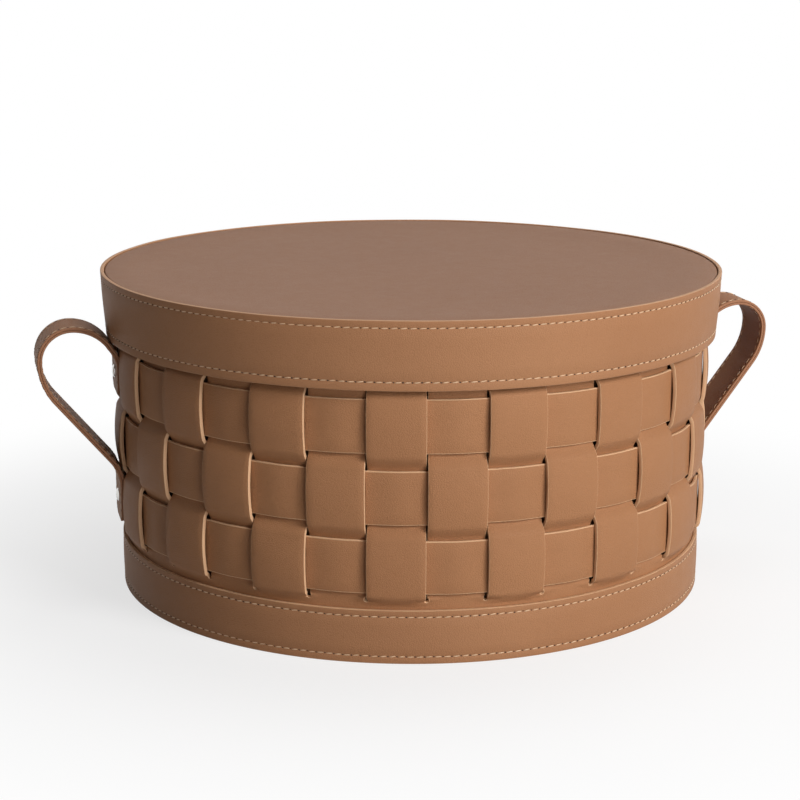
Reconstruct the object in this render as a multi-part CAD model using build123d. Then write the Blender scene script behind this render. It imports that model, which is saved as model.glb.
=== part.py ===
from build123d import *
import math
import os

# Round lidded storage basket: a woven leather wall round a stiff shell, two strap handles
# and a lift-off lid. Millimetres, +Z up, origin at the middle of the underside,
# X through the two handles.

# Driving sizes of the wall
shell_radius = 185.0           # outer face of the stiff shell behind the weave
shell_thickness = 3.0
shell_height = 194.4           # from the underside cover to the rim
sheet_thickness = 2.4          # slit leather sheet of the wall
strap_thickness = 2.2          # horizontal straps woven through the slits
strap_rows = 3
strap_gap = 9.7                # from one strap's edge to the next
foot_gap = 9.9                 # from the base band up to the lowest strap
head_gap = 8.6                 # from the highest strap up to the rim band
bar_count = 34                 # upright bars between the slits
slit_width = 1.0
weave_gap = 0.15               # play between a strap and the bars that cross it
wall_lining_thickness = 0.9

# Bands that close the wall at the bottom and under the lid
band_thickness = 2.4
base_band_height = 32.5
rim_band_height = 30.0
slit_margin = 1.0              # uncut leather that shows beside each band

# Floor
underside_thickness = 2.0
base_board_thickness = 4.0
floor_lining_thickness = 1.0

# Lid
lid_play = 0.9                 # radial play between the lid and the rim band
lid_seat_gap = 0.3             # lid lining above the rim
lid_lining_thickness = 0.8
lid_hoop_thickness = 2.5       # stiff hoop behind the lid's band
lid_board_thickness = 4.0
lid_cover_thickness = 2.0
lid_cover_round = 1.2          # softened edge of the top leather
lid_band_height = 40.7
lid_band_lip = 1.5             # the band stands this much above the top leather
lid_flare = 2.6                # the band is this much wider at its top than at its lower edge
hoop_inset = 0.6               # hoop and side lining end above the band's lower edge

# Handles: two leather plies sewn together and riveted at both ends
handle_width = 34.0
ply_thickness = 1.5
ply_gap = 0.1
tab_corner = 9.0               # cut corner at each end of the strap
bend_below_lid = 17.5          # the handle leaves the wall this far under the lid's lower edge
upper_tab_rise = 4.3           # straight strap between the upper rivet and that bend
upper_tab_drop = 13.0          # strap end below the upper rivet
lower_rivet_rise = 2.6         # above the middle of the lowest woven strap
lower_tab_rise = 8.5
lower_tab_drop = 15.5
handle_reach = 51.0            # middle of the strap beyond the woven straps, where it is widest
lift_radius = 18.0             # first bend, out from the wall
lift_turn = 34.0
lift_run = 4.5                 # short straight after it
shoulder_radius = 28.0
side_radius = 40.0             # on the way down, under the crown of the loop
foot_radius = 28.0             # last bend, back to the wall
rivet_post_radius = 2.0
rivet_hole_play = 0.1
rivet_cap_radius = 4.2
rivet_cap_height = 1.8
rivet_back_radius = 5.5
rivet_back_thickness = 0.8

# Clearances
curved_gap = 0.25              # between curved layers that lie on each other
seat_gap = 0.3                 # handle tab to the wall

# Radii worked out from the inside outwards
sheet_inner = shell_radius + curved_gap
sheet_middle = sheet_inner + sheet_thickness / 2
sheet_outer = sheet_inner + sheet_thickness
strap_inner = sheet_outer + weave_gap
strap_outer = strap_inner + strap_thickness
over_inner = strap_outer + weave_gap
over_outer = over_inner + sheet_thickness
bar_step = over_inner - sheet_inner
band_inner = sheet_outer + curved_gap
band_outer = band_inner + band_thickness
shell_inner = shell_radius - shell_thickness
lining_outer = shell_inner - curved_gap
lining_inner = lining_outer - wall_lining_thickness

strap_total = 2 * ply_thickness + ply_gap

# Heights worked out from the table upwards
board_bottom = underside_thickness
board_top = board_bottom + base_board_thickness
floor_top = board_top + floor_lining_thickness
rim_top = underside_thickness + shell_height
rim_band_bottom = rim_top - rim_band_height
slit_bottom = base_band_height + slit_margin
slit_top = rim_band_bottom - slit_margin
woven_bottom = base_band_height + foot_gap
woven_top = rim_band_bottom - head_gap
strap_width = (woven_top - woven_bottom - (strap_rows - 1) * strap_gap) / strap_rows
strap_pitch = strap_width + strap_gap
strap_heights = [woven_bottom + strap_width / 2 + row * strap_pitch for row in range(strap_rows)]
lid_lining_bottom = rim_top + lid_seat_gap
lid_board_bottom = lid_lining_bottom + lid_lining_thickness
lid_board_top = lid_board_bottom + lid_board_thickness
lid_cover_top = lid_board_top + lid_cover_thickness
lid_top = lid_cover_top + lid_band_lip
lid_bottom = lid_top - lid_band_height
hoop_bottom = lid_bottom + hoop_inset
upper_bend = lid_bottom - bend_below_lid
upper_rivet_height = upper_bend - upper_tab_rise
lower_rivet_height = strap_heights[0] + lower_rivet_rise
lower_bend = lower_rivet_height + lower_tab_rise

# Lid radii at its lower edge; everything flares alike towards the top
lid_lining_inner = band_outer + lid_play
hoop_inner = lid_lining_inner + lid_lining_thickness + curved_gap
lid_band_inner = hoop_inner + lid_hoop_thickness + curved_gap
lid_band_outer = lid_band_inner + band_thickness

quarter_turn = 90.0
bar_pitch = 4 * quarter_turn / bar_count
slit_angle = math.degrees(slit_width / sheet_middle)


def ring(inner, outer, bottom, top):
    """Upright ring between two radii."""
    wall = Circle(outer) - Circle(inner)
    return Pos(0, 0, bottom) * extrude(wall, top - bottom)


def disc(radius, bottom, top):
    return Pos(0, 0, bottom) * extrude(Circle(radius), top - bottom)


def flare_at(height):
    """How far the lid's sides stand out at this height."""
    return lid_flare * (height - lid_bottom) / lid_band_height


def flared_ring(inner, thickness, bottom, top):
    """Ring whose sides lean out like the lid's band; inner is its radius at the lid's lower edge."""
    low = inner + flare_at(bottom)
    high = inner + flare_at(top)
    side = Polyline(
        (low, 0, bottom),
        (low + thickness, 0, bottom),
        (high + thickness, 0, top),
        (high, 0, top),
        close=True,
    )
    return revolve(make_face(side), Axis.Z)


def bar_side(levels, stations, side):
    """One face of a bar, from its foot to its head.

    levels says on which of the two radii each stretch lies, stations gives the heights where
    each stretch begins and ends, and side is -1 for the inner face and 1 for the outer one.
    """
    shift = side * sheet_thickness / 2
    edges = []
    for number, level in enumerate(levels):
        low, high = stations[number]
        radius = sheet_middle + level * bar_step + shift
        edges.append(Line((radius, 0, low), (radius, 0, high)))
        if number + 1 == len(levels):
            break
        rise = (levels[number + 1] - level) * bar_step
        if rise == 0:
            edges.append(Line((radius, 0, high), (radius, 0, stations[number + 1][0])))
            continue
        run = stations[number + 1][0] - high
        out = math.copysign(1, rise)
        bend = (run**2 + rise**2) / (4 * abs(rise))
        turn = 2 * math.atan(abs(rise) / run)
        first = bend - out * shift
        second = bend + out * shift
        start = Vector(radius, 0, high)
        middle = start + Vector(out * first * (1 - math.cos(turn)), 0, first * math.sin(turn))
        end = Vector(radius + rise, 0, high + run)
        halfway = turn / 2
        via = start + Vector(out * first * (1 - math.cos(halfway)), 0, first * math.sin(halfway))
        edges.append(ThreePointArc(start, via, middle))
        via = end - Vector(out * second * (1 - math.cos(halfway)), 0, second * math.sin(halfway))
        edges.append(ThreePointArc(middle, via, end))
    return edges


def bar(over_rows):
    """One upright bar; it passes outside the straps of over_rows and inside the others."""
    half = strap_width / 2
    levels = [0]
    stations = [(slit_bottom - slit_margin, slit_bottom)]
    for row, height in enumerate(strap_heights):
        levels.append(1 if row in over_rows else 0)
        stations.append((height - half, height + half))
    levels.append(0)
    stations.append((slit_top, slit_top + slit_margin))
    inner = bar_side(levels, stations, -1)
    outer = bar_side(levels, stations, 1)
    foot = Line(inner[0] @ 0, outer[0] @ 0)
    head = Line(inner[-1] @ 1, outer[-1] @ 1)
    section = make_face([*inner, *outer, foot, head])
    return Rot(0, 0, -(bar_pitch - slit_angle) / 2) * revolve(section, Axis.Z, bar_pitch - slit_angle)


def wall_panel():
    """Slit leather sheet: whole at the foot and the head, and cut into waving bars between."""
    foot = ring(sheet_inner, sheet_outer, underside_thickness, slit_bottom - slit_margin)
    head = ring(sheet_inner, sheet_outer, slit_top + slit_margin, rim_top)
    even_bar = bar(over_rows=(0, 2))
    odd_bar = bar(over_rows=(1,))
    bars = [Rot(0, 0, turn * bar_pitch) * (odd_bar if turn % 2 else even_bar) for turn in range(bar_count)]
    return foot.fuse(head, *bars)


def woven_strap(row):
    middle = strap_heights[row]
    return ring(strap_inner, strap_outer, middle - strap_width / 2, middle + strap_width / 2)


def loop_shape(seat):
    """Radius of a handle's crown, and the turn after which its straight run meets the last bend."""
    lean = math.radians(lift_turn)
    middle = seat + strap_total / 2
    widest = strap_outer + handle_reach
    lifted = lift_radius * (1 - math.cos(lean)) + lift_run * math.sin(lean)
    raised = lift_radius * math.sin(lean) + lift_run * math.cos(lean)
    crown_radius = widest - middle - lifted - shoulder_radius * math.cos(lean)
    loop_top = upper_bend + raised + shoulder_radius * (1 - math.sin(lean))
    across = middle + foot_radius - (widest - side_radius)
    down = loop_top - crown_radius - lower_bend
    tangent = math.asin((side_radius + foot_radius) / math.hypot(across, down))
    return crown_radius, math.degrees(tangent - math.atan2(across, down))


def handle_run(seat, offset):
    """Side line of a handle in the XZ plane, at a distance from the strap's wall face.

    It runs from the upper tab's end, up and out round the loop, and down to the lower tab's end,
    where the strap has turned over and its other face meets the wall.
    """
    x = seat + offset
    centre_shift = strap_total / 2 - offset
    x_low = seat + strap_total - offset
    upper_end = upper_rivet_height - upper_tab_drop
    lower_end = lower_rivet_height - lower_tab_drop
    crown_radius, side_turn = loop_shape(seat)
    lean = math.radians(lift_turn)
    lift = turned_arc(Vector(x, 0, upper_bend), quarter_turn, lift_radius + centre_shift, -lift_turn)
    lift_end = lift @ 1 + Vector(math.sin(lean), 0, math.cos(lean)) * lift_run
    edges = [Line((x, 0, upper_end), (x, 0, upper_bend)), lift, Line(lift @ 1, lift_end)]
    heading = quarter_turn - lift_turn
    bends = (
        (shoulder_radius, -heading),
        (crown_radius, -quarter_turn),
        (side_radius, -side_turn),
    )
    for radius, turn in bends:
        edges.append(turned_arc(edges[-1] @ 1, heading, radius + centre_shift, turn))
        heading += turn
    foot_bend = foot_radius - centre_shift
    last = turned_arc(Vector(x_low, 0, lower_bend), quarter_turn, foot_bend, -side_turn)
    edges.append(Line(edges[-1] @ 1, last @ 1))
    edges.append(last)
    edges.append(Line((x_low, 0, lower_bend), (x_low, 0, lower_end)))
    return edges


def turned_arc(start, heading, radius, turn):
    """Arc in the XZ plane that leaves start at heading and turns by turn, both in degrees."""
    side = math.copysign(1, turn)

    def at(angle):
        now = math.radians(heading + angle)
        begin = math.radians(heading)
        dx = side * radius * (math.sin(now) - math.sin(begin))
        dz = side * radius * (math.cos(begin) - math.cos(now))
        return start + Vector(dx, 0, dz)

    return ThreePointArc(start, at(turn / 2), at(turn))


def tab_corners(seat, end_height):
    """Wedges that cut the two corners of a strap end."""
    tab = Plane(origin=(seat, 0, end_height), x_dir=(0, 1, 0), z_dir=(1, 0, 0))
    corners = []
    for side in (-1, 1):
        edge = side * handle_width / 2
        outline = Polyline((edge, 0), (edge - side * tab_corner, 0), (edge, tab_corner), close=True)
        corners.append(extrude(tab * make_face(outline), strap_total, both=True))
    return corners


def handle_ply(seat, near, far):
    """One ply of a handle strap, between two distances from the strap's wall face."""
    inner = handle_run(seat, near)
    outer = handle_run(seat, far)
    ends = [Line(inner[0] @ 0, outer[0] @ 0), Line(inner[-1] @ 1, outer[-1] @ 1)]
    section = make_face([*inner, *outer, *ends])
    ply = extrude(section, handle_width / 2, dir=(0, 1, 0), both=True)
    for end_height in (upper_rivet_height - upper_tab_drop, lower_rivet_height - lower_tab_drop):
        for corner in tab_corners(seat, end_height):
            ply -= corner
    return ply


def x_rod(radius, start, length, height):
    return Pos(start, 0, height) * Rot(0, 90, 0) * extrude(Circle(radius), length)


def rivet_hole(height):
    """Hole through the wall and the strap for one rivet, at the +X side."""
    start = lining_inner - 2 * wall_lining_thickness
    end = over_outer + seat_gap + 2 * strap_total
    return x_rod(rivet_post_radius + rivet_hole_play, start, end - start, height)


def rivet_cap(seat, height):
    """Domed cap outside the strap, with the post that runs to the lining."""
    face = seat + strap_total
    post_start = lining_inner - rivet_back_thickness
    post = x_rod(rivet_post_radius, post_start, face - post_start, height)
    dome_radius = (rivet_cap_radius**2 + rivet_cap_height**2) / (2 * rivet_cap_height)
    crown = (face + rivet_cap_height, 0)
    rim = (face, rivet_cap_radius)
    outline = [Line((face, 0), rim), RadiusArc(rim, crown, dome_radius), Line(crown, (face, 0))]
    dome = Pos(0, 0, height) * revolve(make_face(outline), Axis.X)
    return post.fuse(dome)


def rivet_back(height):
    """Flat washer on the lining; the post is spread over it."""
    washer = x_rod(rivet_back_radius, lining_inner - rivet_back_thickness, rivet_back_thickness, height)
    # the lining is curved, so the washer stands just inside the chord under its rim
    chord = lining_inner - math.sqrt(lining_inner**2 - rivet_back_radius**2)
    bore_start = lining_inner - 2 * rivet_back_thickness
    bore = x_rod(rivet_post_radius + rivet_hole_play, bore_start, 3 * rivet_back_thickness, height)
    return Pos(-chord, 0, 0) * (washer - bore)


def lid_cover():
    """Top leather with a softened edge, inside the band's raw upper edge."""
    radius = lid_band_inner + flare_at(lid_board_top) - curved_gap
    cover = disc(radius, lid_board_top, lid_cover_top)
    return fillet(cover.edges().group_by(Axis.Z)[-1], lid_cover_round)


rivet_heights = (upper_rivet_height, lower_rivet_height)
right_seat = over_outer + seat_gap
left_seat = strap_outer + seat_gap
second_ply = ply_thickness + ply_gap
to_left = Rot(0, 0, 2 * quarter_turn)
lid_board_radius = lid_band_inner + flare_at(lid_board_bottom) - curved_gap
lid_top_lining_radius = hoop_inner + flare_at(lid_lining_bottom) - curved_gap

holes_right = [rivet_hole(height) for height in rivet_heights]
sides = (Rot(), to_left)
holes = [turn * hole for turn in sides for hole in holes_right]


def drilled(piece, cutters):
    for cutter in cutters:
        piece -= cutter
    return piece


def group(pieces):
    return Compound([solid for piece in pieces for solid in piece.solids()])


nodes = {
    "underside_cover": disc(band_inner - curved_gap, 0, underside_thickness),
    "base_board": disc(shell_inner - curved_gap, board_bottom, board_top),
    "floor_lining": disc(shell_inner - curved_gap, board_top, floor_top),
    "wall_shell": drilled(ring(shell_inner, shell_radius, underside_thickness, rim_top), holes),
    "wall_lining": drilled(ring(lining_inner, lining_outer, floor_top, rim_top), holes),
    "wall_panel": drilled(wall_panel(), holes),
    "woven_strap_lower": drilled(woven_strap(0), holes),
    "woven_strap_middle": woven_strap(1),
    "woven_strap_upper": drilled(woven_strap(strap_rows - 1), holes),
    "base_band": ring(band_inner, band_outer, 0, base_band_height),
    "rim_band": ring(band_inner, band_outer, rim_band_bottom, rim_top),
    "handle_right_outer_ply": drilled(handle_ply(right_seat, 0, ply_thickness), holes_right),
    "handle_right_inner_ply": drilled(handle_ply(right_seat, second_ply, strap_total), holes_right),
    "handle_left_outer_ply": to_left * drilled(handle_ply(left_seat, 0, ply_thickness), holes_right),
    "handle_left_inner_ply": to_left * drilled(handle_ply(left_seat, second_ply, strap_total), holes_right),
    "rivet_caps": group(
        [rivet_cap(right_seat, height) for height in rivet_heights]
        + [to_left * rivet_cap(left_seat, height) for height in rivet_heights]
    ),
    "rivet_backs": group([turn * rivet_back(height) for turn in sides for height in rivet_heights]),
    "lid_band": flared_ring(lid_band_inner, band_thickness, lid_bottom, lid_top),
    "lid_hoop": flared_ring(hoop_inner, lid_hoop_thickness, hoop_bottom, lid_board_bottom),
    "lid_side_lining": flared_ring(lid_lining_inner, lid_lining_thickness, hoop_bottom, lid_lining_bottom),
    "lid_board": disc(lid_board_radius, lid_board_bottom, lid_board_top),
    "lid_top_lining": disc(lid_top_lining_radius, lid_lining_bottom, lid_board_bottom),
    "lid_cover": lid_cover(),
}

os.makedirs("parts", exist_ok=True)
for name, shape in nodes.items():
    export_step(shape, f"parts/{name}.step")

print("lid radius at the top", round(lid_band_outer + lid_flare, 2), "height", round(lid_top, 2))
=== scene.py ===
import bpy
import bmesh
import math
import random
from mathutils import Matrix, Vector, noise


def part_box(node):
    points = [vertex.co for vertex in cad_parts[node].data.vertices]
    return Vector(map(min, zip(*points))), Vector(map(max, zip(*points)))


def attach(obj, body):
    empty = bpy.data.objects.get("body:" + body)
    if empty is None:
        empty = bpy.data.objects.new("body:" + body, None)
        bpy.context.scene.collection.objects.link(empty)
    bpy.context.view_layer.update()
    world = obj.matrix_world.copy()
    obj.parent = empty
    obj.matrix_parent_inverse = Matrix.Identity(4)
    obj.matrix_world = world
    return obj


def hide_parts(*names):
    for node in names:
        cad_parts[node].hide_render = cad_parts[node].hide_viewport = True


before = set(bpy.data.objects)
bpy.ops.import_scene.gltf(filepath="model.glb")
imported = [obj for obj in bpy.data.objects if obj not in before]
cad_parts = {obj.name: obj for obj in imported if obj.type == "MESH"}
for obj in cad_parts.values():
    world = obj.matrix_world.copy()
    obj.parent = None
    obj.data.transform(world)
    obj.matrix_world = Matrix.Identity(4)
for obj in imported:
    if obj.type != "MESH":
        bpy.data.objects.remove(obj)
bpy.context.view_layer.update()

random.seed(7)
mm = 0.001
fullTurn = 2 * math.pi
quarterTurn = math.pi / 2


# lower and upper corner of a node of the frame
def low(node):
    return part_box(node)[0]


def high(node):
    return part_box(node)[1]


# 0 up to t = 0, 1 from t = 1 on, and soft between
def smoothStep(t):
    t = min(1.0, max(0.0, t))
    return t * t * (3 - 2 * t)


# camera: the view the photograph was taken from, solved from the rims of the lid and the base
view = dict(
    azimuth=-13.5,        # degrees round from the front, so the right handle goes back
    elevation=13.64,
    distance=1.330,       # to the middle of the basket
    focal=2009.0,         # in pixels
    roll=0.18,
    centreX=410.6,        # where the basket's middle falls in the picture
    centreY=416.0,
    picture=800,          # pixels across
    sensor=36,            # millimetres across
    nearest=0.05,
    farthest=30,
)


def makeCamera():
    data = bpy.data.cameras.new("camera")
    data.sensor_width = view["sensor"]
    data.lens = view["focal"] / view["picture"] * data.sensor_width
    data.shift_x = (view["picture"] / 2 - view["centreX"]) / view["picture"]
    data.shift_y = (view["centreY"] - view["picture"] / 2) / view["picture"]
    data.clip_start = view["nearest"]
    data.clip_end = view["farthest"]
    camera = bpy.data.objects.new("camera", data)
    bpy.context.collection.objects.link(camera)
    around = math.radians(view["azimuth"])
    up = math.radians(view["elevation"])
    back = Vector((math.sin(around) * math.cos(up), -math.cos(around) * math.cos(up), math.sin(up)))
    camera.location = Vector((0, 0, high("lid_band").z / 2)) + back * view["distance"]
    turn = (-back).to_track_quat("-Z", "Y").to_matrix()
    camera.rotation_euler = (turn @ Matrix.Rotation(math.radians(view["roll"]), 3, "Z")).to_euler()
    bpy.context.scene.camera = camera


makeCamera()
print("camera ready")


# materials: a value is a socket, so colour and bump read as plain arithmetic
class Value:
    def __init__(self, tree, socket):
        self.tree = tree
        self.socket = socket

    def mathNode(self, operation, *values):
        return self.tree.add("ShaderNodeMath", dict(operation=operation), dict(enumerate(values)))

    def __add__(self, other):
        return self.mathNode("ADD", self, other)

    def __rsub__(self, other):
        return self.mathNode("SUBTRACT", other, self)

    def __mul__(self, other):
        return self.mathNode("MULTIPLY", self, other)

    __radd__ = __add__
    __rmul__ = __mul__


# nodes of one material or of the world; place is where a point lies on its piece
class Tree:
    def __init__(self, owner):
        self.material = owner
        self.nodes = owner.node_tree.nodes
        self.links = owner.node_tree.links
        self.shader = self.nodes.get("Principled BSDF")
        self.place = self.add("ShaderNodeTexCoord", {}, {}, "Object")

    def feed(self, socket, value):
        if isinstance(value, Value):
            self.links.new(value.socket, socket)
        else:
            socket.default_value = value

    def add(self, kind, settings, inputs, output=0):
        node = self.nodes.new(kind)
        for name, value in settings.items():
            if name == "stops":
                for stop, (position, level) in zip(node.color_ramp.elements, value):
                    stop.position = position
                    stop.color = (level, level, level, 1)
            else:
                setattr(node, name, value)
        for name, value in inputs.items():
            self.feed(node.inputs[name], value)
        return Value(self, node.outputs[output])

    def noise(self, scale, detail=2.0, rough=0.5):
        inputs = {"Vector": self.place, "Scale": scale, "Detail": detail, "Roughness": rough}
        return self.add("ShaderNodeTexNoise", {}, inputs, "Fac")

    # 0 on the borders of a net of cells
    def cells(self, scale):
        inputs = {"Vector": self.place, "Scale": scale}
        return self.add("ShaderNodeTexVoronoi", dict(feature="DISTANCE_TO_EDGE"), inputs, "Distance")

    # 1 for what the camera sees, straight or in a shiny or clear surface
    def seenRays(self):
        rays = self.nodes.new("ShaderNodeLightPath")
        kinds = ("Is Camera Ray", "Is Glossy Ray", "Is Transmission Ray")
        camera, glossy, clear = (Value(self, rays.outputs[kind]) for kind in kinds)
        return camera + glossy + clear

    def ramp(self, value, stops):
        return self.add("ShaderNodeValToRGB", dict(stops=stops), {"Fac": value}, "Color")

    def mix(self, amount, first, second):
        return self.add("ShaderNodeMix", dict(data_type="RGBA"), {0: amount, 6: first, 7: second}, 2)

    # blends one shader into another and sends the result out
    def blend(self, amount, first, second, output):
        join = self.nodes.new("ShaderNodeMixShader")
        self.feed(join.inputs[0], amount)
        self.links.new(first.outputs[0], join.inputs[1])
        self.links.new(second.outputs[0], join.inputs[2])
        self.links.new(join.outputs[0], self.nodes[output].inputs["Surface"])

    def finish(self, color, rough, height=None, depth=0.0, strength=1.0, **fixed):
        self.feed(self.shader.inputs["Base Color"], color)
        self.feed(self.shader.inputs["Roughness"], rough)
        if height is not None:
            inputs = {"Height": height, "Strength": strength, "Distance": depth}
            self.feed(self.shader.inputs["Normal"], self.add("ShaderNodeBump", {}, inputs))
        for name, value in fixed.items():
            self.shader.inputs[name.replace("_", " ")].default_value = value
        return self.material


def newLook(name):
    material = bpy.data.materials.new(name)
    material.use_nodes = True
    return Tree(material)


# colour as a paint program gives it, 0 to 255, turned to the renderer's own scale
def rgb(red, green, blue):
    return tuple(((c / 255 + 0.055) / 1.055) ** 2.4 for c in (red, green, blue)) + (1.0,)


def darker(color, share):
    return tuple(c * share for c in color[:3]) + (1.0,)


leatherFinish = dict(
    wall=dict(main=rgb(178, 128, 90), dark=rgb(160, 111, 76), grain=0.80, shine=0.13),
    band=dict(main=rgb(178, 129, 92), dark=rgb(160, 112, 78), grain=0.65, shine=0.13),
    lid=dict(main=rgb(160, 121, 96), dark=rgb(150, 111, 87), grain=0.65, shine=0.06),
    handle=dict(main=rgb(168, 119, 83), dark=rgb(150, 103, 70), grain=0.65, shine=0.10),
    under=dict(main=rgb(122, 88, 64), dark=rgb(106, 75, 54), grain=0.60, shine=0.16),
)
skin = dict(
    cloudScale=9.0,           # slow changes of colour, per metre
    mottleScale=140.0,
    creaseScale=820.0,        # creases about 1.2 mm apart
    creaseWidth=0.16,
    poreScale=2600.0,
    mottleShade=0.22,         # how much the mottle and the creases darken; the darkening of the creases is painted shade
    # painted shade: the creases of the grain are darkened in colour where shade would lie
    creasePaintedShade=0.16,
    creaseShadeDark=0.62,
    rough=0.40,
    relief=0.26 * mm,
)


# pressed leather: slow colour clouds, a net of fine creases darkened with painted shade, and a satin
# face
def leather(name, main, dark, grain, shine):
    tree = newLook(name)
    clouds = tree.noise(skin["cloudScale"], 3.0, 0.55)
    mottle = tree.noise(skin["mottleScale"], 4.0, 0.6)
    creases = tree.ramp(tree.cells(skin["creaseScale"]), ((0.0, 0.0), (skin["creaseWidth"], 1.0)))
    pores = tree.noise(skin["poreScale"])
    worn = tree.mix(clouds, dark, main)
    shade = tree.mix(mottle * skin["mottleShade"], worn, dark)
    # painted shade darkens the colour in the creases
    color = tree.mix((1 - creases) * skin["creasePaintedShade"], shade, darker(dark, skin["creaseShadeDark"]))
    rough = skin["rough"] + 0.16 * mottle + 0.08 * pores
    height = creases * 0.6 + pores * 0.35 + mottle * 0.5
    return tree.finish(color, rough, height, skin["relief"], grain, Specular_IOR_Level=shine)


edgeFinish = dict(
    raw=dict(main=rgb(222, 181, 141), dark=rgb(182, 137, 100)),       # cut leather, paler than its face
    stained=dict(main=rgb(170, 118, 84), dark=rgb(122, 80, 55)),      # burnished edge of the handles
    lip=dict(main=rgb(200, 157, 122), dark=rgb(168, 125, 93)),        # upper edge of the lid's band
)


# cut edge of the leather, with its fibres
def cutEdge(name, main, dark):
    tree = newLook(name)
    fibres = tree.noise(1500.0, 3.0, 0.7)
    patches = tree.noise(120.0, 3.0, 0.6)
    color = tree.mix(patches * 0.3 + fibres * 0.35, main, dark)
    return tree.finish(color, 0.62 + 0.2 * fibres, fibres, 0.2 * mm, 0.5)


# waxed polyester thread, two strands laid together
def threadLook():
    tree = newLook("thread")
    twist = tree.noise(3200.0)
    soil = tree.noise(160.0)
    color = tree.mix(soil * 0.7, rgb(226, 196, 162), rgb(196, 160, 124))
    return tree.finish(color, 0.42 + 0.2 * twist, twist, 0.1 * mm, 0.7)


# painted shade: a ragged dark mark that stands in for the shadow inside a needle hole
def needleHoleShade():
    tree = newLook("needle_hole_shade")
    rag = tree.noise(2400.0)
    return tree.finish(tree.mix(rag, rgb(46, 27, 17), rgb(72, 45, 29)), 0.75 + 0.1 * rag)


# grey-brown fibreboard
def boardLook():
    tree = newLook("board")
    flecks = tree.noise(900.0, 4.0, 0.75)
    clouds = tree.noise(30.0)
    color = tree.mix(flecks, rgb(96, 72, 52), rgb(124, 97, 72))
    color = tree.mix(clouds * 0.4, color, rgb(84, 62, 45))
    return tree.finish(color, 0.8 + 0.1 * flecks, flecks, 0.2 * mm, 0.5)


# brushed microfibre lining: short nap with soft clouds in it
def liningLook():
    tree = newLook("lining")
    nap = tree.noise(1900.0, 3.0, 0.7)
    brushed = tree.noise(22.0, 3.0, 0.6)
    color = tree.mix(brushed, rgb(168, 140, 112), rgb(186, 158, 129))
    color = tree.mix(nap * 0.3, color, rgb(140, 114, 89))
    return tree.finish(color, 0.85 + 0.1 * nap, nap, 0.3 * mm, 0.6, Sheen_Weight=0.3)


# polished nickel plate with fine rubbed lines
def rivetLook():
    tree = newLook("rivet_plate")
    rubbed = tree.noise(700.0, 4.0, 0.7)
    color = tree.mix(rubbed, rgb(196, 194, 190), rgb(224, 222, 218))
    return tree.finish(color, 0.14 + 0.16 * rubbed, rubbed, 0.03 * mm, 0.5, Metallic=1.0)


looks = {name: leather(name + "_leather", **finish) for name, finish in leatherFinish.items()}
looks.update({name: cutEdge(name + "_edge", **finish) for name, finish in edgeFinish.items()})
looks["thread"] = threadLook()
# the needle holes get a dark material of painted shade
looks["hole"] = needleHoleShade()
looks["board"] = boardLook()
looks["lining"] = liningLook()
looks["rivet"] = rivetLook()
print("materials ready", len(looks))


# a shaped mesh becomes a piece that rides on its body and stands in for nodes of the frame
def makePiece(name, bm, body, materials, nodes=()):
    mesh = bpy.data.meshes.new(name)
    bm.to_mesh(mesh)
    bm.free()
    for polygon in mesh.polygons:
        polygon.use_smooth = True
    piece = bpy.data.objects.new(name, mesh)
    bpy.context.collection.objects.link(piece)
    for material in materials:
        mesh.materials.append(looks[material])
    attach(piece, body)
    if nodes:
        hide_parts(*nodes)
    return piece


sheetEdge = dict(
    segments=2,
    angle=50,                 # degrees from which an edge is rounded
)


# gives a sheet its thickness, half to each side, with the cut rim in the second material
def thicken(piece, thickness, rounding):
    solid = piece.modifiers.new("thickness", "SOLIDIFY")
    solid.thickness = thickness
    solid.offset = 0
    solid.use_even_offset = True
    solid.material_offset_rim = 1
    soft = piece.modifiers.new("rounding", "BEVEL")
    soft.width = rounding
    soft.segments = sheetEdge["segments"]
    soft.limit_method = "ANGLE"
    soft.angle_limit = math.radians(sheetEdge["angle"])
    soft.material = 1


# moves every vertex of a flat sheet to where place(across, along) says; both run from -1 to 1
def roll(bm, place):
    for vertex in bm.verts:
        vertex.co = place(vertex.co.x * 2, vertex.co.y * 2)


def radial(radius, angle, height):
    return Vector((radius * math.cos(angle), radius * math.sin(angle), height))


# merges what meets and points the faces one way
def closeUp(bm):
    bmesh.ops.remove_doubles(bm, verts=bm.verts, dist=0.02 * mm)
    bmesh.ops.recalc_face_normals(bm, faces=bm.faces)


# spins a line of (radius, height) round the upright axis; the poles of an open line are filled
def spun(line, steps, closed):
    bm = bmesh.new()
    points = [bm.verts.new((radius, 0, height)) for radius, height in line]
    following = points[1:] + points[:1] if closed else points[1:]
    edges = [bm.edges.new(pair) for pair in zip(points, following)]
    bmesh.ops.spin(bm, geom=points + edges, axis=(0, 0, 1), cent=(0, 0, 0), angle=fullTurn,
                   steps=steps, use_merge=True)
    if not closed:
        bmesh.ops.holes_fill(bm, edges=[edge for edge in bm.edges if edge.is_boundary], sides=0)
    bmesh.ops.recalc_face_normals(bm, faces=bm.faces)
    return bm


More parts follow.
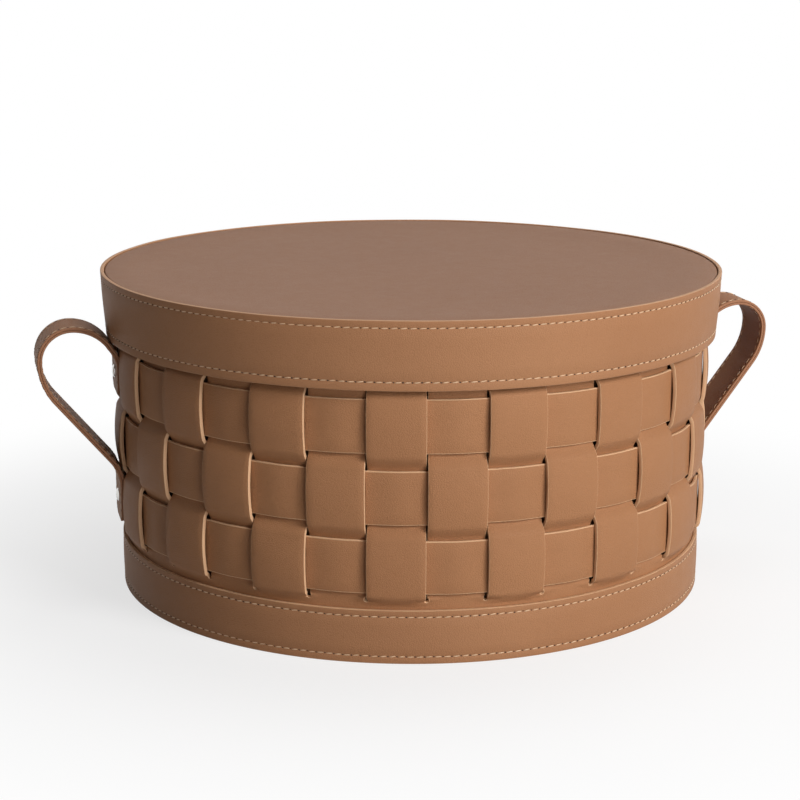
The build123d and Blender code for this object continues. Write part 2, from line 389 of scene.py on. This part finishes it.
# woven wall: bars cut in one leather sheet, and three straps threaded through them
weave = dict(
    barCount=34,
    thickness=2.4 * mm,
    bandThickness=2.4 * mm,   # bands that lie round the sheet at its foot and head
    bandPlay=0.25 * mm,
    slit=1.0 * mm,
    slitHole=1.3 * mm,        # radius of the punched hole that ends a slit
    slitEndDrop=4.0 * mm,     # hole below the lowest strap
    margin=1.0 * mm,          # uncut leather beside each band
    strapPlay=0.15 * mm,
    crown=1.5 * mm,           # how far a bar bulges over a strap
    crownSpread=0.35,         # how much the crowns differ
    crownFall=0.25,           # share of a crown that is lost towards a bar's sides
    strapBulge=1.0 * mm,
    strapSink=0.3 * mm,       # how far a strap gives way behind a bar
    strapFall=0.35,           # share of a bulge that is lost towards a strap's edges
    strapWave=0.25 * mm,      # slow rise and fall of a strap on its way round
    strapWaves=5,
    strapShift=2,             # from one strap's waves to the next one's, in radians
    rounding=0.55 * mm,
    foldWidth=0.45,           # share of a bar's width over which neighbours part at a slit's end
    partFoot=2.5 * mm,        # height over which they part at the foot, and at the head
    partHead=2.0 * mm,
    lean=0.25 * mm,           # sideways drift of a whole bar, and the sway along it
    sway=0.2 * mm,
    swaysPerMetre=40,
    swayShift=3,              # how far one bar's sway may be shifted, in radians
    sideHold=0.6,             # how much less the sides of a bar drift than its middle
    barColumns=8,
    strapColumns=4,
    strapSteps=12,            # steps of a strap's mesh for each bar
)
strapNodes = ["woven_strap_lower", "woven_strap_middle", "woven_strap_upper"]
strapSpans = [(low(node).z, high(node).z) for node in strapNodes]
strapOuter = high("woven_strap_lower").x
sheetOuter = high("base_band").x - weave["bandThickness"] - weave["bandPlay"]
sheetMiddle = sheetOuter - weave["thickness"] / 2
strapThickness = strapOuter - sheetOuter - weave["strapPlay"]
barStep = strapThickness + 2 * weave["strapPlay"] + weave["thickness"]
sheetFoot, sheetHead = low("wall_panel").z, high("wall_panel").z
slitFoot = high("base_band").z + weave["margin"]
slitHead = low("rim_band").z - weave["margin"]
holeHeight = strapSpans[0][0] - weave["slitEndDrop"]
pitch = fullTurn / weave["barCount"]


# 0 where a bar lies behind the straps and 1 where it passes over one
def barLevel(height, odd):
    height0, level0 = slitFoot, 0
    for row, (foot, head) in enumerate(strapSpans):
        over = (row % 2 == 0) != odd
        if height < foot:
            return level0 + (over - level0) * smoothStep((height - height0) / (foot - height0))
        if height <= head:
            return float(over)
        height0, level0 = head, float(over)
    return level0 * (1 - smoothStep((height - height0) / (slitHead - height0)))


# soft bulge of a bar where it passes over a strap
def crownAt(across, height, odd):
    for row, (foot, head) in enumerate(strapSpans):
        if foot <= height <= head and (row % 2 == 0) != odd:
            along = (2 * height - foot - head) / (head - foot)
            return (1 - along ** 2) * (1 - weave["crownFall"] * across ** 2)
    return 0.0


# half the gap between two bars: the hole that ends the slit, the slit, and none above it
def halfGap(height):
    if height >= slitHead:
        return 0.0
    slit = weave["slit"] / 2
    if height >= holeHeight + weave["slitHole"]:
        return slit
    hole = math.sqrt(max(0.0, weave["slitHole"] ** 2 - (height - holeHeight) ** 2))
    return max(hole, slit) if height > holeHeight else hole


# heights of the rows of a bar's mesh, closer where it bends and round the hole
def barHeights():
    marks = [sheetFoot, slitFoot, holeHeight - weave["slitHole"], holeHeight + weave["slitHole"]]
    counts = [3, 4, 6, 3]
    for foot, head in strapSpans:
        marks += [foot, head]
        counts += [8, 9]
    marks += [slitHead, sheetHead]
    counts[-1:] = [8, 3]
    heights = [sheetFoot]
    for start, end, count in zip(marks, marks[1:], counts):
        heights += [start + (end - start) * (step + 1) / count for step in range(count)]
    return heights


# place of one point of a bar; across runs from -1 to 1, and drift tells the bars apart
def barPoint(bar, across, height, drift):
    odd = bar % 2 == 1
    own = barLevel(height, odd)
    shared = (own + barLevel(height, not odd)) / 2
    joined = 1 - smoothStep((height - holeHeight) / weave["partFoot"])
    joined = max(joined, smoothStep((height - slitHead + weave["partHead"]) / weave["partHead"]))
    edge = smoothStep((abs(across) - 1 + weave["foldWidth"]) / weave["foldWidth"]) * joined
    level = own * (1 - edge) + shared * edge
    turn = height * weave["swaysPerMetre"] + drift[2] * weave["swayShift"]
    wander = weave["lean"] * drift[0] + weave["sway"] * drift[1] * math.sin(turn)
    wander *= (1 - joined) * (1 - abs(across) * weave["sideHold"])
    side = across * (pitch / 2 * sheetMiddle - halfGap(height)) + wander
    crown = weave["crown"] * (1 + weave["crownSpread"] * drift[3]) * crownAt(across, height, odd)
    return radial(sheetMiddle + barStep * level + crown, bar * pitch + side / sheetMiddle, height)


def makeBars():
    heights = barHeights()
    rows = len(heights) - 1
    bm = bmesh.new()
    for bar in range(weave["barCount"]):
        drift = [random.uniform(-1, 1) for _ in range(4)]
        sheet = bmesh.ops.create_grid(bm, x_segments=weave["barColumns"], y_segments=rows, size=0.5)
        for vertex in sheet["verts"]:
            height = heights[round((vertex.co.y + 0.5) * rows)]
            vertex.co = barPoint(bar, vertex.co.x * 2, height, drift)
    closeUp(bm)
    piece = makePiece("wall_bars", bm, "basket", ["wall", "raw"], ["wall_panel"])
    thicken(piece, weave["thickness"], weave["rounding"])


def makeStrap(row, name):
    foot, head = strapSpans[row]

    def place(across, along):
        around = (across + 1) / 2 * weave["barCount"]     # in bars, from the middle of bar 0
        bar = math.floor(around + 0.5)
        over = bar % 2 != row % 2
        swell = math.cos((around - bar) * math.pi) ** 2 * (1 - weave["strapFall"] * along ** 2)
        bulge = swell * (weave["strapBulge"] if over else -weave["strapSink"])
        angle = around * pitch
        height = (foot + head) / 2 + along * (head - foot) / 2
        shift = row * weave["strapShift"]
        height += weave["strapWave"] * math.sin(angle * weave["strapWaves"] + shift)
        return radial(strapOuter - strapThickness / 2 + bulge, angle, height)

    bm = bmesh.new()
    steps = weave["barCount"] * weave["strapSteps"]
    bmesh.ops.create_grid(bm, x_segments=steps, y_segments=weave["strapColumns"], size=0.5)
    roll(bm, place)
    closeUp(bm)
    piece = makePiece(name, bm, "basket", ["wall", "raw"], [strapNodes[row]])
    thicken(piece, strapThickness, weave["rounding"])


makeBars()
for row, name in enumerate(["strap_lower", "strap_middle", "strap_upper"]):
    makeStrap(row, name)
print("woven wall ready")


# sewn bands: a turned section with a shallow groove along each row of stitches
band = dict(
    thickness=2.4 * mm,
    rounding=0.4 * mm,
    steps=288,
    grooveDepth=0.28 * mm,
    grooveWidth=1.5 * mm,
    belly=0.25 * mm,          # soft swell between the stitch rows
    wavesRound=2.2,           # how often the band leaves the true circle on its way round
    wavesUp=1.5,
    lipWaves=4,
    lipFrom=0.9,              # share of the height from which the upper edge rises and falls
    cornerAngle=60,           # degrees from which an edge is rounded
    cornerSteps=3,
    cutShare=0.6,             # share of the rounding that shows the cut leather
)
lidFoot, lidHead = low("lid_band").z, high("lid_band").z
lidBand = dict(
    radiusLow=high("lid_band").x - 2.6 * mm,              # the band flares towards its top
    rows=[lidFoot + 5.2 * mm, lidHead - 4.3 * mm],
    edge="lip",
    seed=1.3,
    uneven=0.25 * mm,
    lip=0.2 * mm,             # rise and fall of the upper edge
)
baseBand = dict(
    radiusLow=high("base_band").x,
    rows=[4.4 * mm, high("base_band").z - 3.9 * mm],
    edge="raw",
    seed=5.1,
    uneven=0.2 * mm,
    lip=0.15 * mm,
)


# gives the radius of a band's outer face at a height
def bandFace(node, shape):
    foot, head = low(node).z, high(node).z
    flare = high(node).x - shape["radiusLow"]
    return lambda height: shape["radiusLow"] + flare * (height - foot) / (head - foot)


# outer face of a band from its foot up, then its inner face down, as (radius, height)
def bandSection(foot, head, rows, face):
    points = [(face(foot), foot)]
    for row in rows:
        for step, depth in ((-1, 0), (-0.4, 0.75), (0, 1), (0.4, 0.75), (1, 0)):
            height = row + step * band["grooveWidth"] / 2
            points.append((face(height) - depth * band["grooveDepth"], height))
        if row == rows[0]:
            for part in (0.25, 0.5, 0.75):
                height = row + (rows[-1] - row) * part
                points.append((face(height) + band["belly"] * math.sin(part * math.pi), height))
    points.append((face(head), head))
    points.append((face(head) - band["thickness"], head))
    points.append((face(foot) - band["thickness"], foot))
    return points


def makeBand(name, body, node, shape):
    foot, head = low(node).z, high(node).z
    section = bandSection(foot, head, shape["rows"], bandFace(node, shape))
    bm = spun(section, band["steps"], closed=True)
    sharp = math.radians(band["cornerAngle"])
    corners = [edge for edge in bm.edges if edge.calc_face_angle(0) > sharp]
    bmesh.ops.bevel(bm, geom=corners, offset=band["rounding"], segments=band["cornerSteps"],
                    profile=0.5, material=-1, affect="EDGES")
    cut = band["rounding"] * band["cutShare"]
    for face in bm.faces:
        height = face.calc_center_median().z
        face.material_index = 1 if height > head - cut or height < foot + cut else 0
    for vertex in bm.verts:
        angle = math.atan2(vertex.co.y, vertex.co.x)
        part = (vertex.co.z - foot) / (head - foot)
        way = radial(1, angle, 0)
        swellSpot = way * band["wavesRound"] + Vector((0, 0, part * band["wavesUp"] + shape["seed"]))
        vertex.co += way * noise.noise(swellSpot) * shape["uneven"]
        if part > band["lipFrom"]:
            lipSpot = way * band["lipWaves"] + Vector((0, 0, shape["seed"]))
            vertex.co.z += shape["lip"] * noise.noise(lipSpot)
    makePiece(name, bm, body, ["band", shape["edge"]], [node])


# stitches: beads of thread that lean a little, with a dark mark of painted shade for the needle hole
# after each
stitch = dict(
    length=3.7 * mm,
    pitch=5.35 * mm,
    radius=0.36 * mm,
    flat=0.85,                # height of a bead, as a share of its width
    lean=6.0,                 # degrees off the row
    leanSpread=3,
    rise=0.12 * mm,           # middle of the thread above the groove's floor
    drift=0.1 * mm,           # off the row, up or down
    # size and depth of the dark marks of painted shade at the needle holes
    holeRadius=0.62 * mm,
    holeSpread=(0.85, 1.1),   # smallest and widest hole, as shares of that radius
    holeHeight=0.22 * mm,
    holeSink=0.1 * mm,
)


# a small ball with few faces, in the thread's material or the painted shade of the hole
def stitchShape(rings, material, lieDown, squeeze):
    bm = bmesh.new()
    bmesh.ops.create_uvsphere(bm, u_segments=6, v_segments=rings, radius=1)
    if lieDown:
        bmesh.ops.rotate(bm, verts=bm.verts, matrix=Matrix.Rotation(quarterTurn, 3, "Y"))
    bmesh.ops.scale(bm, verts=bm.verts, vec=squeeze)
    for face in bm.faces:
        face.material_index = material
    mesh = bpy.data.meshes.new("stitch_shape")
    bm.to_mesh(mesh)
    bm.free()
    return mesh


bead = stitchShape(6, 0, True, (1, 1, 1))
# dark marks of painted shade for the needle holes
needleShadeMark = stitchShape(4, 1, False, (1, 0.8, 1))


# adds a copy of a small mesh to bm at place
def stamp(bm, shape, place):
    copy = shape.copy()
    copy.transform(place)
    bm.from_mesh(copy)
    bpy.data.meshes.remove(copy)


# one stitch lying along a row, and the dark mark of painted shade for the needle hole that follows it
def addStitch(bm, centre, along, out):
    across = out.cross(along).normalized()
    turn = Matrix((along, across, out)).transposed().to_4x4()
    lean = stitch["lean"] + random.uniform(-stitch["leanSpread"], stitch["leanSpread"])
    tilt = Matrix.Rotation(math.radians(lean), 4, "Z")
    half = (stitch["length"] / 2, stitch["radius"], stitch["radius"] * stitch["flat"], 1)
    stamp(bm, bead, Matrix.Translation(centre) @ turn @ tilt @ Matrix.Diagonal(half))
    # painted shade: a dark mark sunk into the face where the needle hole's shadow would be
    radius = stitch["holeRadius"] * random.uniform(*stitch["holeSpread"])
    spot = centre + along * stitch["pitch"] / 2 - out * stitch["holeSink"]
    size = Matrix.Diagonal((radius, radius, stitch["holeHeight"], 1))
    stamp(bm, needleShadeMark, Matrix.Translation(spot) @ turn @ size)


def sewBand(name, body, node, shape):
    face = bandFace(node, shape)
    bm = bmesh.new()
    for row in shape["rows"]:
        radius = face(row) - band["grooveDepth"] + stitch["rise"]
        count = round(fullTurn * radius / stitch["pitch"])
        for number in range(count):
            angle = number * fullTurn / count
            height = row + random.uniform(-stitch["drift"], stitch["drift"])
            along, out = radial(1, angle + quarterTurn, 0), radial(1, angle, 0)
            addStitch(bm, radial(radius, angle, height), along, out)
    # the second material is the painted shade of the needle holes
    makePiece(name, bm, body, ["thread", "hole"])


makeBand("lid_side", "lid", "lid_band", lidBand)
makeBand("base_side", "basket", "base_band", baseBand)
sewBand("lid_stitches", "lid", "lid_band", lidBand)
sewBand("base_stitches", "basket", "base_band", baseBand)
print("bands sewn")


# lid top: leather drawn over the board, almost flat, with a rounded edge
lidTop = dict(
    rounding=1.1 * mm,
    rise=1.0 * mm,            # edge of the leather above the frame's flat top
    dish=0.8 * mm,            # middle of it below that top
    sinkShare=0.2,            # share of the radius over which it sinks from its edge
    hollow=0.3,               # part of the sinking that comes only towards the middle
    ripple=0.22 * mm,
    ripplesPerMetre=9,
    rippleShare=0.125,        # share of the radius over which the ripples come in
    steps=288,
    rings=14,
    roundSteps=4,
    flatWithin=0.1 * mm,      # what lies this close to the top belongs to the flat face
)


def makeLidTop():
    radius, foot = high("lid_cover").x, low("lid_cover").z
    head = high("lid_cover").z + lidTop["rise"]
    rounding = lidTop["rounding"]
    section = [(radius, foot), (radius, head - rounding)]
    for step in range(1, lidTop["roundSteps"] + 1):
        turn = step / lidTop["roundSteps"] * quarterTurn
        inset, drop = rounding * (1 - math.cos(turn)), rounding * (1 - math.sin(turn))
        section.append((radius - inset, head - drop))
    for ring in range(1, lidTop["rings"]):
        section.append(((radius - rounding) * (1 - ring / lidTop["rings"]), head))
    bm = spun(section, lidTop["steps"], closed=False)
    for vertex in bm.verts:
        if vertex.co.z < head - lidTop["flatWithin"]:
            continue
        part = vertex.co.xy.length / radius
        where = Vector((vertex.co.x, vertex.co.y, 0)) * lidTop["ripplesPerMetre"] + Vector((0, 0, 0.4))
        ripple = noise.noise(where) * lidTop["ripple"] * min(1, (1 - part) / lidTop["rippleShare"])
        depth = (lidTop["dish"] + lidTop["rise"]) * (1 - lidTop["hollow"] * part ** 2)
        vertex.co.z += ripple - depth * smoothStep((1 - part) / lidTop["sinkShare"])
    makePiece("lid_top", bm, "lid", ["lid"], ["lid_cover"])


makeLidTop()
print("lid top ready")


# handles: a two-ply strap in a loop, riveted through both tabs
strap = dict(
    width=34.0 * mm,
    ply=1.5 * mm,
    gap=0.1 * mm,
    upperEnd=129.5 * mm,
    upperBend=146.8 * mm,
    lowerBend=69.5 * mm,
    lowerEnd=45.5 * mm,
    reach=51.0 * mm,          # middle of the strap beyond the woven straps, where it is widest
    liftRadius=18.0 * mm,     # first bend, out from the wall
    liftTurn=34.0,
    liftRun=4.5 * mm,         # short straight after it
    shoulderRadius=28.0 * mm,
    sideRadius=40.0 * mm,     # on the way down, under the crown
    footRadius=28.0 * mm,
    cornerRadius=8.0 * mm,
    rounding=0.4 * mm,
    stitchInset=3.0 * mm,
    stitchRise=0.02 * mm,
    step=1.5 * mm,            # from one point of the middle line to the next
    columns=8,
)
strapTotal = 2 * strap["ply"] + strap["gap"]


def heading(direction):
    return Vector((math.cos(direction), 0, math.sin(direction)))


def outward(direction):
    return Vector((-math.sin(direction), 0, math.cos(direction)))


def straight(start, direction, length):
    count = max(1, round(length / strap["step"]))
    return [(start + heading(direction) * length * part / count, direction) for part in range(count)]


# an arc, to the right where turn is positive; gives its points and where it ends
def bend(start, direction, radius, turn):
    count = max(2, round(radius * abs(turn) / strap["step"]))
    arm = math.copysign(radius, turn)
    centre = start - outward(direction) * arm
    turned = [direction - turn * part / count for part in range(count)]
    end = centre + outward(direction - turn) * arm
    return [(centre + outward(now) * arm, now) for now in turned], end


# middle line of a strap in the XZ plane, from its upper end round the loop to its lower end
def handleLine(seat):
    x = seat + strapTotal / 2
    up, down = quarterTurn, -quarterTurn
    lean = math.radians(strap["liftTurn"])
    widest = strapOuter + strap["reach"]
    points = straight(Vector((x, 0, strap["upperEnd"])), up, strap["upperBend"] - strap["upperEnd"])
    lift, here = bend(Vector((x, 0, strap["upperBend"])), up, strap["liftRadius"], lean)
    points += lift + straight(here, up - lean, strap["liftRun"])
    here += heading(up - lean) * strap["liftRun"]
    shoulder, here = bend(here, up - lean, strap["shoulderRadius"], up - lean)
    crown, here = bend(here, 0, widest - here.x, quarterTurn)
    points += shoulder + crown

    # the straight run down touches both the side's arc and the last bend
    across = x + strap["footRadius"] - (widest - strap["sideRadius"])
    drop = here.z - strap["lowerBend"]
    tangent = math.asin((strap["sideRadius"] + strap["footRadius"]) / math.hypot(across, drop))
    turn = tangent - math.atan2(across, drop)
    side, here = bend(here, down, strap["sideRadius"], turn)
    footCentre = Vector((x + strap["footRadius"], 0, strap["lowerBend"]))
    foot = footCentre - outward(down - turn) * strap["footRadius"]
    points += side + straight(here, down - turn, (foot - here).length)
    last, here = bend(foot, down - turn, strap["footRadius"], -turn)
    points += last + straight(here, down, strap["lowerBend"] - strap["lowerEnd"])
    points.append((Vector((x, 0, strap["lowerEnd"])), down))
    return points


# half the width of a strap this far from its nearer end, where its corners are rounded
def halfWidth(distance):
    half, corner = strap["width"] / 2, strap["cornerRadius"]
    if distance >= corner:
        return half
    return half - corner + math.sqrt(corner ** 2 - (corner - distance) ** 2)


def makePly(name, node, line, lengths, away, toSide):
    rows = len(line) - 1
    bm = bmesh.new()
    bmesh.ops.create_grid(bm, x_segments=strap["columns"], y_segments=rows, size=0.5)
    for vertex in bm.verts:
        index = round((vertex.co.y + 0.5) * rows)
        point, direction = line[index]
        side = vertex.co.x * 2 * halfWidth(min(lengths[index], lengths[-1] - lengths[index]))
        vertex.co = point + outward(direction) * away + Vector((0, side, 0))
    bmesh.ops.recalc_face_normals(bm, faces=bm.faces)
    bmesh.ops.transform(bm, matrix=toSide, verts=bm.verts)
    piece = makePiece(name, bm, "basket", ["handle", "stained"], [node])
    thicken(piece, strap["ply"], strap["rounding"])


# a row of stitches along each edge of a strap, on both of its faces
def sewHandle(name, line, lengths, toSide):
    total = lengths[-1]
    count = int((total - 2 * strap["stitchInset"]) / stitch["pitch"])
    start = (total - (count - 1) * stitch["pitch"]) / 2
    bm = bmesh.new()
    for edge in (-1, 1):
        for number in range(count):
            distance = start + number * stitch["pitch"]
            index = min(range(len(lengths)), key=lambda i: abs(lengths[i] - distance))
            point, direction = line[index]
            along = heading(direction)
            side = edge * (halfWidth(min(distance, total - distance)) - strap["stitchInset"])
            middle = point + along * (distance - lengths[index]) + Vector((0, side, 0))
            for face in (-1, 1):
                out = outward(direction) * face
                addStitch(bm, middle + out * (strapTotal / 2 + strap["stitchRise"]), along, out)
    bmesh.ops.transform(bm, matrix=toSide, verts=bm.verts)
    # the second material is the painted shade of the needle holes
    makePiece(name, bm, "basket", ["thread", "hole"])


seats = dict(right=low("handle_right_outer_ply").x, left=-high("handle_left_outer_ply").x)
toSides = dict(right=Matrix.Identity(4), left=Matrix.Rotation(math.pi, 4, "Z"))
for side, seat in seats.items():
    line = handleLine(seat)
    lengths = [0.0]
    for (start, _), (end, _) in zip(line, line[1:]):
        lengths.append(lengths[-1] + (end - start).length)
    for ply, face in (("outer", 1), ("inner", -1)):
        away = face * (strap["ply"] + strap["gap"]) / 2
        makePly(f"handle_{side}_{ply}", f"handle_{side}_{ply}_ply", line, lengths, away, toSides[side])
    sewHandle(f"handle_{side}_stitches", line, lengths, toSides[side])
print("handles ready")


# rivets: a low dome on a thin rolled rim, set into the strap
rivet = dict(
    heights=(142.5 * mm, 61.0 * mm),
    radius=4.2 * mm,
    height=1.8 * mm,
    rim=0.5 * mm,
    sunk=0.2 * mm,
    domeShare=0.93,           # width of the dome inside the rim
    domeSteps=9,
    steps=40,
)


def makeRivets():
    section = [(rivet["radius"], -rivet["sunk"]), (rivet["radius"], rivet["rim"])]
    for step in range(1, rivet["domeSteps"]):
        turn = step / rivet["domeSteps"] * quarterTurn
        height = rivet["rim"] + (rivet["height"] - rivet["rim"]) * math.sin(turn)
        section.append((rivet["radius"] * rivet["domeShare"] * math.cos(turn), height))
    dome = bpy.data.meshes.new("rivet_shape")
    bm = spun(section, rivet["steps"], closed=False)
    bm.to_mesh(dome)
    bm.free()
    bm = bmesh.new()
    lieDown = Matrix.Rotation(quarterTurn, 4, "Y")
    for side, seat in seats.items():
        for height in rivet["heights"]:
            stamp(bm, dome, toSides[side] @ Matrix.Translation((seat + strapTotal, 0, height)) @ lieDown)
    makePiece("rivet_domes", bm, "basket", ["rivet"], ["rivet_caps"])


makeRivets()
print("rivets ready")


# what stays as the frame gives it gets its finish
carried = dict(
    underside_cover="under", base_board="board", floor_lining="lining", wall_shell="board",
    wall_lining="lining", rim_band="band", rivet_backs="rivet", lid_hoop="board",
    lid_side_lining="lining", lid_board="board", lid_top_lining="lining",
)
for node, look in carried.items():
    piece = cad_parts[node]
    for slotted in piece.material_slots:
        slotted.material = looks[look]
print("carried nodes finished", len(carried))


# stage: white floor that keeps the shadow, soft light from the right and in front
stage = dict(
    floorSize=9.0,
    floorDrop=0.2 * mm,
    floorWhite=0.95,
    floorBounce=0.50,         # white that the floor sends back to the basket
    lift=0.71,                # share of plain white, for the camera only, so that the floor reads white
    clearFrom=0.22,           # metres from the basket where the floor starts to turn plain white
    clearTo=0.52,
    key=dict(place=(1.17, -1.87, 1.25), size=1.1, power=47.0),
    front=dict(place=(0.45, -2.6, 0.45), size=1.0, power=17.0),
    top=dict(place=(0.5, 0.5, 2.4), size=1.6, power=20.0),
    world=0.03,
    aim=0.1,                  # height that the lamps point at
)


def grey(level):
    return (level, level, level, 1.0)


def makeStage():
    bm = bmesh.new()
    bmesh.ops.create_grid(bm, x_segments=1, y_segments=1, size=stage["floorSize"])
    mesh = bpy.data.meshes.new("floor")
    bm.to_mesh(mesh)
    bm.free()
    floor = bpy.data.objects.new("floor", mesh)
    floor.location.z = -stage["floorDrop"]
    bpy.context.collection.objects.link(floor)
    tree = newLook("floor_white")
    seen = tree.seenRays()
    color = tree.mix(seen, grey(stage["floorBounce"]), grey(stage["floorWhite"]))
    tree.finish(color, 0.9, Specular_IOR_Level=0.0)
    away = tree.add("ShaderNodeVectorMath", dict(operation="LENGTH"), {0: tree.place}, "Value")
    span = {"From Min": stage["clearFrom"], "From Max": stage["clearTo"], "To Min": stage["lift"]}
    span["Value"] = away
    clear = tree.add("ShaderNodeMapRange", dict(interpolation_type="SMOOTHSTEP"), span, "Result")
    plain = tree.nodes.new("ShaderNodeEmission")
    tree.blend(clear * seen, tree.shader, plain, "Material Output")
    mesh.materials.append(tree.material)


def makeLamp(name, place, size, power):
    data = bpy.data.lights.new(name, "AREA")
    data.shape = "DISK"
    data.size = size
    data.energy = power
    lamp = bpy.data.objects.new(name, data)
    lamp.location = place
    way = Vector((0, 0, stage["aim"])) - Vector(place)
    lamp.rotation_euler = way.to_track_quat("-Z", "Y").to_euler()
    bpy.context.collection.objects.link(lamp)


def makeWorld():
    world = bpy.data.worlds.new("studio")
    world.use_nodes = True
    bpy.context.scene.world = world
    tree = Tree(world)
    light = tree.nodes["Background"]
    backdrop = tree.nodes.new("ShaderNodeBackground")
    for node, strength in ((light, stage["world"]), (backdrop, 1.0)):
        node.inputs["Color"].default_value = grey(1.0)
        node.inputs["Strength"].default_value = strength
    tree.blend(tree.seenRays(), light, backdrop, "World Output")


makeStage()
for name in ("key", "front", "top"):
    makeLamp(name, **stage[name])
makeWorld()
bpy.context.scene.view_settings.view_transform = "Standard"
print("stage ready")
